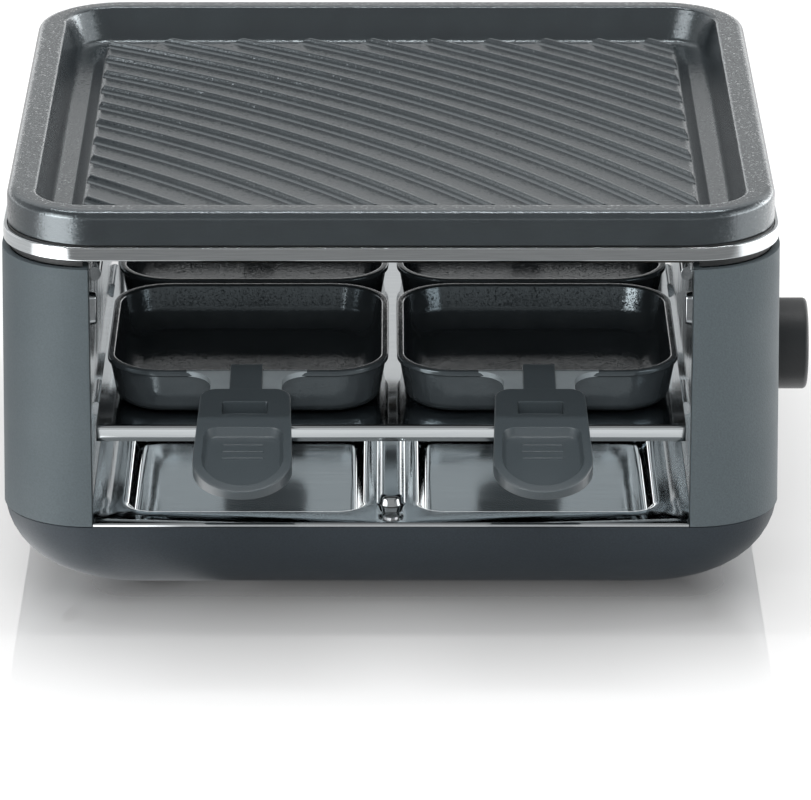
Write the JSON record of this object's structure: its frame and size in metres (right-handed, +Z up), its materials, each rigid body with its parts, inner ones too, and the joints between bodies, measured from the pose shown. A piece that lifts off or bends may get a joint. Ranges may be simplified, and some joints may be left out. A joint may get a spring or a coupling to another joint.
{
  "type": "raclette grill",
  "caption": "Compact square raclette grill: a diagonally ribbed cast grill plate with a fat gutter over handled pans on a mirror steel shelf, with a tray below and a side knob.",
  "frame": {"origin": "middle of the part's overall box, on the table under the feet", "axes": "+Z up from the table, +Y from the front row of pans to the rear row, +X to the side with the knob"},
  "size_m": [0.2632, 0.348, 0.1392],
  "materials": {
    "coated_cast": "cast, dark grey speckled non-stick coating, satin",
    "satin_steel": "fine satin",
    "mirror_steel": "mirror polish",
    "grey_plastic": "fine matte grain",
    "black_plastic": "matte",
    "pan_coating": "pressed, black speckled non-stick coating",
    "grip_plastic": "matte",
    "knob_plastic": "matte",
    "zinc_steel": "zinc plated",
    "element_steel": "heat-tinted",
    "pale_ceramic": "unglazed",
    "foot_rubber": "matte"
  },
  "bodies": {
    "grill": {"base_pan": "black_plastic", "left_housing": "grey_plastic", "right_housing": "grey_plastic", "top_frame": "black_plastic", "trim_band": "satin_steel", "lower_tray": "mirror_steel", "pan_shelf": "mirror_steel", "left_inner_wall": "mirror_steel", "right_inner_wall": "mirror_steel", "heating_element": "element_steel", "element_rail_front": "satin_steel", "element_rail_rear": "satin_steel", "terminal_block": "pale_ceramic", "thermostat_body": "black_plastic", "thermostat_bracket": "zinc_steel", "thermostat_nut": "zinc_steel", "cord_gland": "black_plastic", "foot_front_left": "foot_rubber", "base_screw_front_left": "zinc_steel", "top_screw_front_left": "zinc_steel", "foot_front_right": "foot_rubber", "base_screw_front_right": "zinc_steel", "top_screw_front_right": "zinc_steel", "foot_rear_left": "foot_rubber", "base_screw_rear_left": "zinc_steel", "top_screw_rear_left": "zinc_steel", "foot_rear_right": "foot_rubber", "base_screw_rear_right": "zinc_steel", "top_screw_rear_right": "zinc_steel", "tray_screw_front": "zinc_steel", "tray_screw_rear": "zinc_steel"},
    "knob": {"control_knob": "knob_plastic", "knob_spindle": "zinc_steel"},
    "plate": {"grill_plate": "coated_cast"},
    "pan_front_left_set": {"pan_front_left": "pan_coating", "handle_front_left": "grip_plastic", "handle_screw_front_left": "zinc_steel"},
    "pan_front_right_set": {"pan_front_right": "pan_coating", "handle_front_right": "grip_plastic", "handle_screw_front_right": "zinc_steel"},
    "pan_rear_left_set": {"pan_rear_left": "pan_coating", "handle_rear_left": "grip_plastic", "handle_screw_rear_left": "zinc_steel"},
    "pan_rear_right_set": {"pan_rear_right": "pan_coating", "handle_rear_right": "grip_plastic", "handle_screw_rear_right": "zinc_steel"}
  },
  "joints": [
    {"name": "knob_turn", "type": "hinge", "parent": "grill", "child": "knob", "pos_m": [0.12077, -0.06, 0.074], "axis": [1, 0, 0], "range_deg": [-270, 0]},
    {"name": "plate_lift", "type": "slide", "parent": "grill", "child": "plate", "axis": [0, 0, 1], "range_m": [0, 0.08]},
    {"name": "pan_front_left_pull", "type": "slide", "parent": "grill", "child": "pan_front_left_set", "axis": [0, -1, 0], "range_m": [0, 0.18]},
    {"name": "pan_front_right_pull", "type": "slide", "parent": "grill", "child": "pan_front_right_set", "axis": [0, -1, 0], "range_m": [0, 0.18]},
    {"name": "pan_rear_left_pull", "type": "slide", "parent": "grill", "child": "pan_rear_left_set", "axis": [0, 1, 0], "range_m": [0, 0.18]},
    {"name": "pan_rear_right_pull", "type": "slide", "parent": "grill", "child": "pan_rear_right_set", "axis": [0, 1, 0], "range_m": [0, 0.18]}
  ]
}
